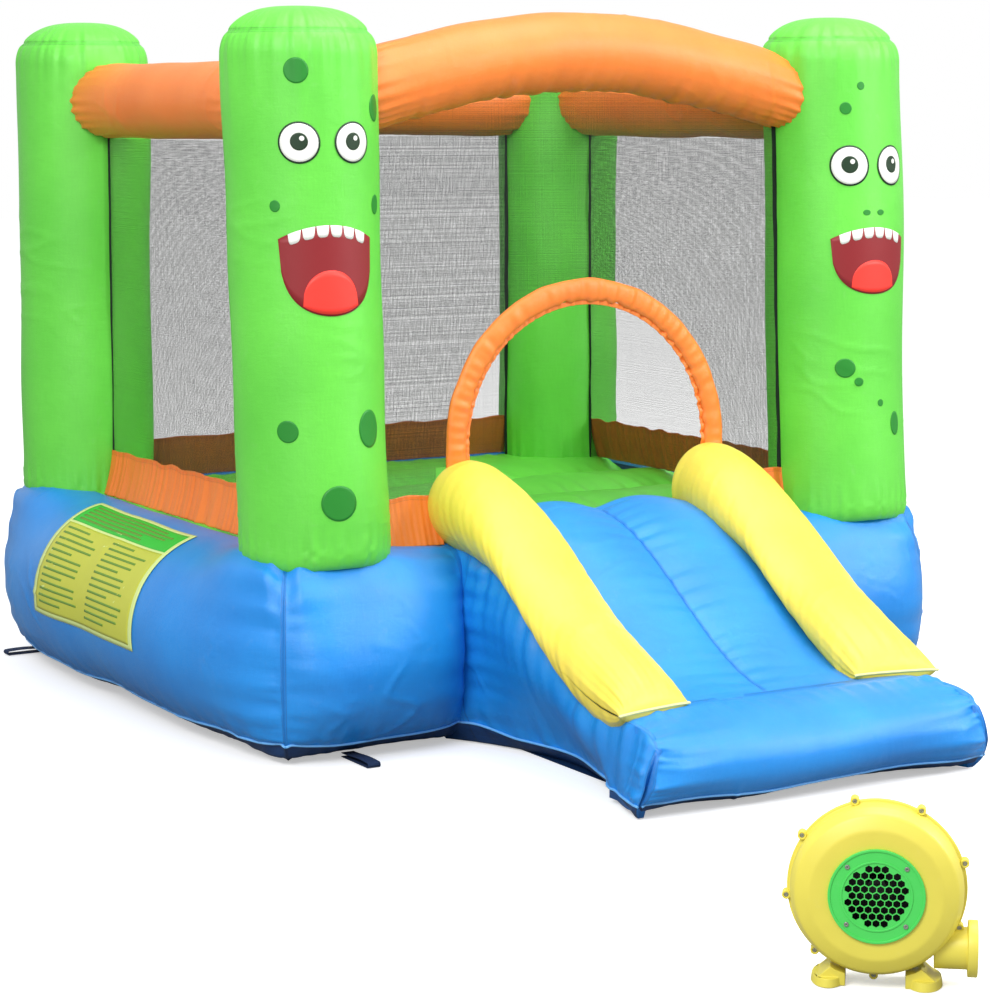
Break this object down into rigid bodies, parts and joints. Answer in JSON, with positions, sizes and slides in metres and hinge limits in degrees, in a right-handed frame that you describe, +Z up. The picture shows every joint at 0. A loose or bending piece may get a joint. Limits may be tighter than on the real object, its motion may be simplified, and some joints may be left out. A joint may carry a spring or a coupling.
{
  "type": "inflatable bounce house",
  "caption": "Small open-top inflatable bounce house on four stuffed columns with net walls, a round doorway and a short two-lane slide, with its intake blower.",
  "frame": {"origin": "on the ground, midway between the four columns", "axes": "+Z up; -Y towards the doorway, the slide and the blower; +X to the right seen from the slide"},
  "size_m": [2.0722, 3.8699, 1.7],
  "materials": {
    "column_cloth": "satin",
    "base_cloth": "satin",
    "beam_cloth": "satin",
    "bumper_cloth": "satin",
    "net": "matte",
    "webbing": "matte",
    "printed_patch": "satin",
    "blower_shell": "satin",
    "grille_plastic": "satin",
    "black_plastic": "satin",
    "switch_plastic": "gloss",
    "zip_metal": "satin"
  },
  "bodies": {
    "house": {"anchor_loop_back_left": "webbing", "anchor_loop_back_right": "webbing", "anchor_loop_front_left": "webbing", "anchor_loop_front_right": "webbing", "baffle_1": "base_cloth", "baffle_2": "base_cloth", "baffle_3": "base_cloth", "base_back_side": "base_cloth", "base_front_left_side": "base_cloth", "base_front_right_side": "base_cloth", "base_left_side": "base_cloth", "base_right_side": "base_cloth", "beam_back": "beam_cloth", "beam_front_arch": "beam_cloth", "beam_left": "beam_cloth", "beam_right": "beam_cloth", "blower_back_half": "blower_shell", "blower_foot_left": "blower_shell", "blower_foot_right": "blower_shell", "blower_front_half": "blower_shell", "bumper_left": "bumper_cloth", "bumper_right": "bumper_cloth", "column_back_left": "column_cloth", "column_back_right": "column_cloth", "column_front_left": "column_cloth", "column_front_right": "column_cloth", "doorway_hoop": "beam_cloth", "ground_sheet": "base_cloth", "inlet_sleeve": "base_cloth", "intake_grille": "grille_plastic", "jump_tube_1": "column_cloth", "jump_tube_2": "column_cloth", "jump_tube_3": "column_cloth", "jump_tube_4": "column_cloth", "landing_pad": "base_cloth", "lead_gland": "black_plastic", "motor": "black_plastic", "net_back": "net", "net_front": "net", "net_left": "net", "net_right": "net", "outlet_duct": "blower_shell", "side_label": "printed_patch", "skirt_back": "beam_cloth", "skirt_front_left": "beam_cloth", "skirt_front_right": "beam_cloth", "skirt_left": "beam_cloth", "skirt_right": "beam_cloth", "sleeve_strap": "webbing", "slide_baffle": "base_cloth", "slide_lobe_left": "base_cloth", "slide_lobe_right": "base_cloth", "slide_side_left": "base_cloth", "slide_side_right": "base_cloth", "switch_box": "black_plastic", "zip_tape": "webbing"},
    "impeller": {"impeller": "black_plastic"},
    "rocker": {"rocker_switch": "switch_plastic"},
    "zip_slider": {"zip_slider": "zip_metal"},
    "zip_pull": {"zip_pull": "zip_metal"}
  },
  "joints": [
    {"name": "impeller_spin", "type": "hinge", "parent": "house", "child": "impeller", "pos_m": [-0.695, -2.685, 0.167], "axis": [0.6266, 0.7793, 0], "continuous": true},
    {"name": "rocker_tilt", "type": "hinge", "parent": "house", "child": "rocker", "pos_m": [-0.63735, -2.6133, 0.2515], "axis": [0.7793, -0.6266, 0], "range_deg": [0, 16]},
    {"name": "zip_slide", "type": "slide", "parent": "house", "child": "zip_slider", "axis": [1, 0, 0], "range_m": [0, 0.21]},
    {"name": "zip_pull_swing", "type": "hinge", "parent": "zip_slider", "child": "zip_pull", "pos_m": [0.145, 0.94513, 0.235], "axis": [0, 0, -1], "range_deg": [0, 150]}
  ]
}
